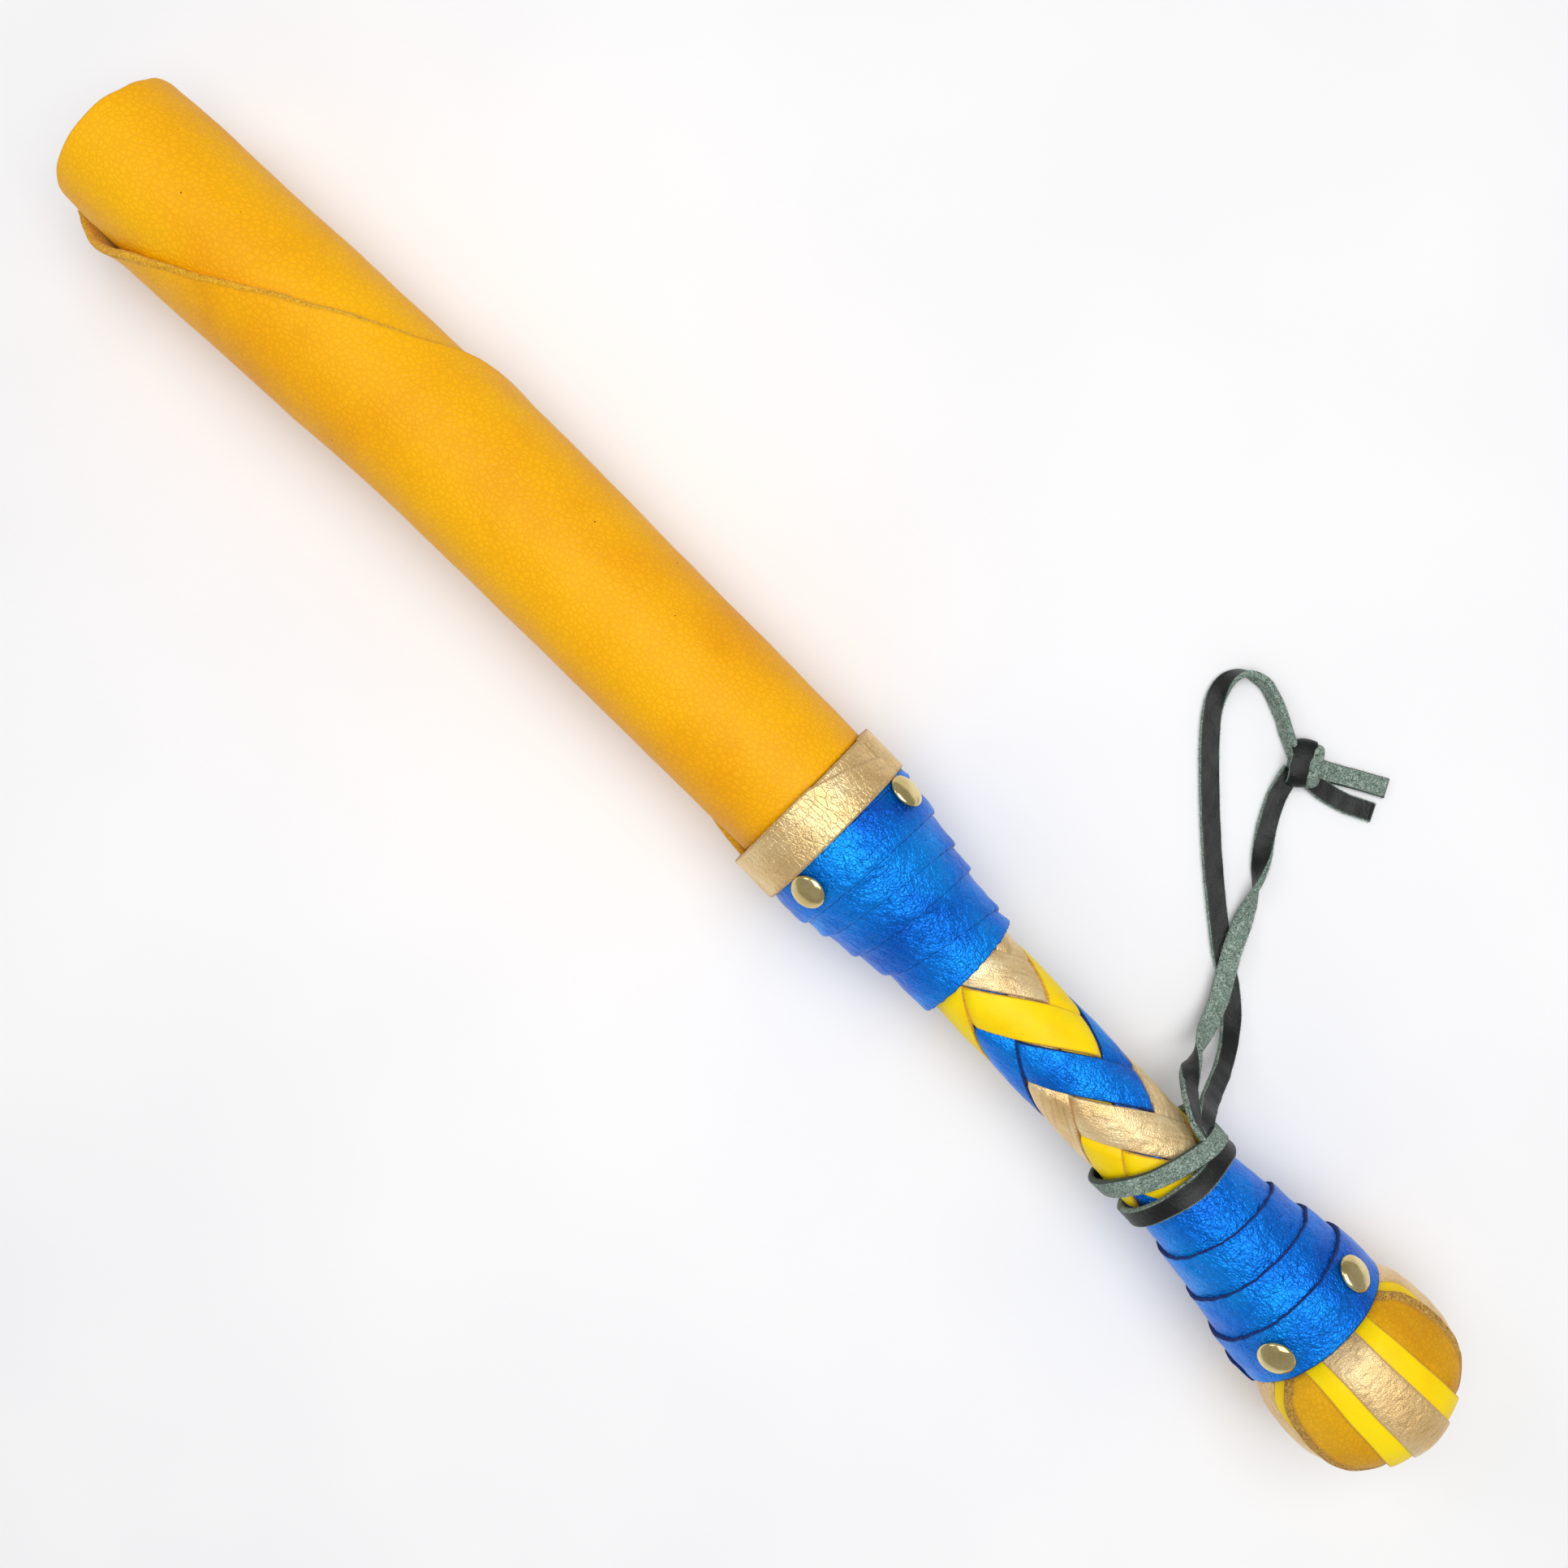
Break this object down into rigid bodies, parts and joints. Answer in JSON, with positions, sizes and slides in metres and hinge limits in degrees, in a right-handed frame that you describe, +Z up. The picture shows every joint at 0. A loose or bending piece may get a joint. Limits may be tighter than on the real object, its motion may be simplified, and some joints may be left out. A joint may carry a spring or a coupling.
{
  "type": "leather training stick",
  "caption": "Padded training stick: a rolled leather barrel, braided handle, riveted collars, layered pommel and a wrist lanyard hitched to the grip.",
  "frame": {"origin": "middle of the stick's length and width, on the surface that it lies on", "axes": "+X along the stick from the barrel's tip to the pommel, +Y to the side where the lanyard lies, +Z up"},
  "size_m": [0.4722, 0.1459, 0.0558],
  "materials": {
    "yellow_leather": "pebbled full-grain leather, satin",
    "lemon_leather": "smooth leather, satin",
    "mustard_leather": "thick leather with a raw fibrous edge",
    "gold_leather": "foil-finished leather, metallic sheen, fine creases",
    "blue_leather": "foil-finished leather, metallic sheen, crackled",
    "lace_leather": "flat lace, smooth on one side and suede on the other",
    "rivet_brass": "brushed domed caps",
    "core_wood": "plain dowel",
    "padding_foam": "closed-cell foam padding"
  },
  "bodies": {
    "stick": {"core_rod": "core_wood", "barrel_padding": "padding_foam", "handle_padding": "padding_foam", "barrel_under_wrap": "yellow_leather", "barrel_outer_turn": "yellow_leather", "band_lower_turn": "gold_leather", "band_upper_turn": "gold_leather", "upper_collar": "blue_leather", "lower_collar": "blue_leather", "upper_rivet_1": "rivet_brass", "lower_rivet_1": "rivet_brass", "upper_rivet_2": "rivet_brass", "lower_rivet_2": "rivet_brass", "upper_rivet_3": "rivet_brass", "lower_rivet_3": "rivet_brass", "upper_rivet_4": "rivet_brass", "lower_rivet_4": "rivet_brass", "braid_strand_right_1": "yellow_leather", "braid_strand_left_1": "gold_leather", "braid_strand_right_2": "gold_leather", "braid_strand_left_2": "yellow_leather", "braid_strand_right_3": "blue_leather", "braid_strand_left_3": "blue_leather", "braid_strand_right_4": "yellow_leather", "braid_strand_left_4": "gold_leather", "braid_strand_right_5": "gold_leather", "braid_strand_left_5": "yellow_leather", "braid_strand_right_6": "blue_leather", "braid_strand_left_6": "blue_leather", "pommel_core": "padding_foam", "pommel_cover": "gold_leather", "pommel_under_leaf_front": "lemon_leather", "pommel_leaf_front": "mustard_leather", "pommel_under_leaf_back": "lemon_leather", "pommel_leaf_back": "mustard_leather", "pommel_strap_wide": "lemon_leather", "pommel_strap_narrow": "gold_leather"},
    "hitch": {"lanyard_hitch": "lace_leather"},
    "loop": {"lanyard_strand_1": "lace_leather", "lanyard_strand_2": "lace_leather", "lanyard_knot": "lace_leather"}
  },
  "joints": [
    {"name": "hitch_turn", "type": "hinge", "parent": "stick", "child": "hitch", "pos_m": [0.142, 0.0004, 0.028], "axis": [1, 0, 0], "continuous": true},
    {"name": "loop_swing", "type": "hinge", "parent": "hitch", "child": "loop", "pos_m": [0.138, 0.0175, 0.031], "axis": [1, 0, 0], "range_deg": [0, 150]}
  ]
}
